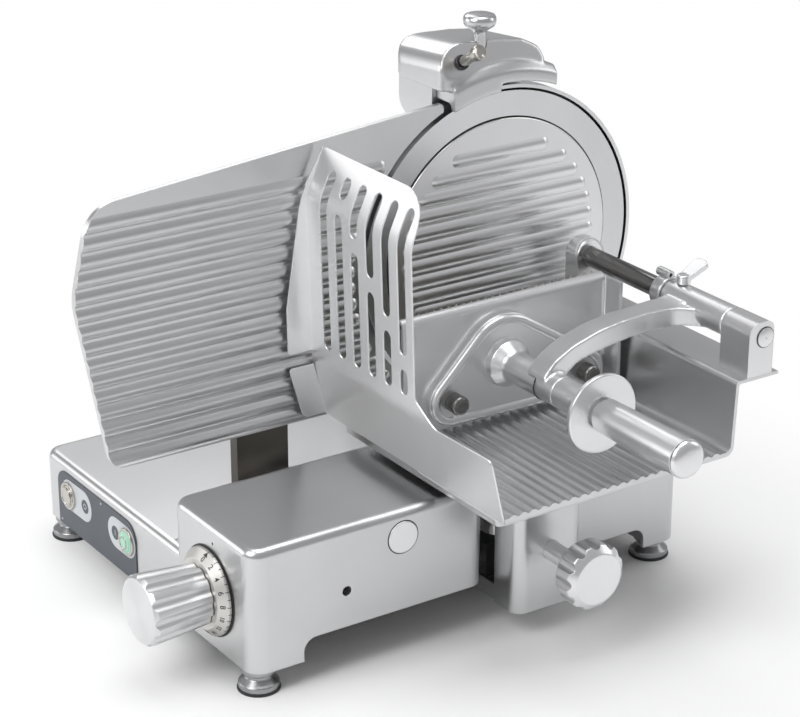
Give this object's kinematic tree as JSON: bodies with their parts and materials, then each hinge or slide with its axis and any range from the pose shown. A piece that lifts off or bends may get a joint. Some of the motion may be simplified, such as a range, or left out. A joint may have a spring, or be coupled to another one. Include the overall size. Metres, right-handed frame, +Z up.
{
  "type": "vertical meat slicer",
  "caption": "Vertical meat slicer with a motor driven round blade, dial set gauge plate and a hand pushed food carriage with a swinging press arm",
  "frame": {"origin": "centre of the bounding box in X and Y, on the bench under the feet", "axes": "+X along the carriage travel to the right, +Y from the operator to the rear, +Z up; metres"},
  "size_m": [0.6076, 0.595, 0.5045],
  "materials": {
    "cast_alu": "satin cast aluminium, bead blasted and clear",
    "satin_alu": "satin anodised aluminium",
    "turned_alu": "turned aluminium",
    "blade_steel": "ground and polished steel",
    "dark_steel": "polished steel, dark",
    "bright_steel": "ground steel",
    "dial_face": "satin aluminium with engraved scale",
    "black_plastic": "black plastic",
    "panel_face": "dark grey panel film",
    "foot_metal": "grey rubber foot",
    "green_lens": "green lens",
    "stone": "grinding stone",
    "belt": "black rubber"
  },
  "bodies": {
    "base": {"base_casting": "cast_alu", "head_casting": "cast_alu", "rear_cover": "cast_alu", "motor_housing": "cast_alu", "drive_motor": "black_plastic", "guard_ring": "satin_alu", "blade_cover": "satin_alu", "cover_tie_rod": "turned_alu", "blade_bearings": "bright_steel", "drive_belt": "belt", "slice_deflector": "satin_alu", "carriage_guide_bar": "bright_steel", "rear_guide_bar": "bright_steel", "gauge_bearings": "black_plastic", "control_panel": "panel_face", "button_bezels": "bright_steel", "access_cap": "turned_alu", "cable_gland": "black_plastic", "sharpener_housing": "cast_alu", "deburr_bush": "black_plastic", "dial_bushing": "bright_steel", "foot_front_left": "foot_metal", "foot_front_right": "foot_metal", "foot_rear_left": "foot_metal", "foot_rear_right": "foot_metal"},
    "blade_unit": {"blade": "blade_steel", "blade_shaft": "bright_steel", "blade_pulley": "turned_alu", "blade_screws": "bright_steel"},
    "motor_unit": {"motor_rotor": "bright_steel"},
    "dial": {"thickness_knob": "turned_alu", "dial_ring": "dial_face", "dial_shaft": "bright_steel", "gauge_cam": "bright_steel"},
    "gauge": {"gauge_plate": "satin_alu", "gauge_post": "dark_steel", "gauge_carrier": "bright_steel", "gauge_follower": "bright_steel"},
    "carriage": {"carriage_tray": "satin_alu", "hand_guard": "satin_alu", "carriage_arm": "cast_alu", "slide_block": "black_plastic", "rod_lug": "satin_alu", "rod_bracket": "satin_alu", "pusher_rod": "dark_steel"},
    "carriage_lock": {"lock_knob": "turned_alu"},
    "pusher_bush": {"rod_bush": "satin_alu"},
    "pusher_arm": {"press_arm": "satin_alu", "pusher_plate": "satin_alu", "pusher_teeth": "bright_steel", "pusher_boss": "satin_alu", "pusher_pins": "dark_steel", "hand_disc": "turned_alu", "handle_grip": "turned_alu"},
    "arm_lever": {"wing_lever": "turned_alu"},
    "start_key": {"start_button": "green_lens"},
    "stop_key": {"stop_button": "bright_steel"},
    "grind_key": {"grind_knob": "turned_alu"},
    "grind_stone": {"grind_wheel": "stone"},
    "deburr_key": {"deburr_pin": "bright_steel"}
  },
  "joints": [
    {"name": "blade_spin", "type": "hinge", "parent": "base", "child": "blade_unit", "pos_m": [0.1478, 0.0775, 0.28], "axis": [0, 1, 0], "continuous": true},
    {"name": "motor_spin", "type": "hinge", "parent": "base", "child": "motor_unit", "pos_m": [0.1478, 0.1775, 0.15], "axis": [0, 1, 0], "continuous": true},
    {"name": "dial_turn", "type": "hinge", "parent": "base", "child": "dial", "pos_m": [-0.2342, -0.0335, 0.075], "axis": [-1, 0, 0], "range_deg": [0, 300]},
    {"name": "gauge_slide", "type": "slide", "parent": "base", "child": "gauge", "axis": [0, 1, 0], "range_m": [0, 0.015]},
    {"name": "carriage_slide", "type": "slide", "parent": "base", "child": "carriage", "axis": [1, 0, 0], "range_m": [-0.19, 0.088]},
    {"name": "lock_turn", "type": "hinge", "parent": "carriage", "child": "carriage_lock", "pos_m": [0.0498, -0.1425, 0.08], "axis": [0, -1, 0], "range_deg": [0, 360]},
    {"name": "pusher_slide", "type": "slide", "parent": "carriage", "child": "pusher_bush", "axis": [0, 1, 0], "range_m": [0, 0.087]},
    {"name": "arm_lift", "type": "hinge", "parent": "pusher_bush", "child": "pusher_arm", "pos_m": [0.2308, -0.1225, 0.263], "axis": [0, 1, 0], "range_deg": [0, 45]},
    {"name": "lever_turn", "type": "hinge", "parent": "pusher_arm", "child": "arm_lever", "pos_m": [0.2318, -0.0925, 0.28], "axis": [0, 0, 1], "range_deg": [-40, 40]},
    {"name": "start_press", "type": "slide", "parent": "base", "child": "start_key", "axis": [1, 0, 0], "range_m": [0, 0.003], "stiffness_N_per_m": 500},
    {"name": "stop_press", "type": "slide", "parent": "base", "child": "stop_key", "axis": [1, 0, 0], "range_m": [0, 0.003], "stiffness_N_per_m": 500},
    {"name": "grind_press", "type": "slide", "parent": "base", "child": "grind_key", "axis": [0, 0, -1], "range_m": [0, 0.006], "stiffness_N_per_m": 600},
    {"name": "stone_spin", "type": "hinge", "parent": "grind_key", "child": "grind_stone", "pos_m": [0.1298, 0.0875, 0.446], "axis": [1, 0, 0], "continuous": true},
    {"name": "deburr_press", "type": "slide", "parent": "base", "child": "deburr_key", "axis": [0, 0.866, -0.5], "range_m": [0, 0.004], "stiffness_N_per_m": 500}
  ],
  "couplings": [
    {"joint": "motor_spin", "follows": "blade_spin", "ratio": 4.1667},
    {"joint": "dial_turn", "follows": "gauge_slide", "rad_per_m": 349.06}
  ]
}
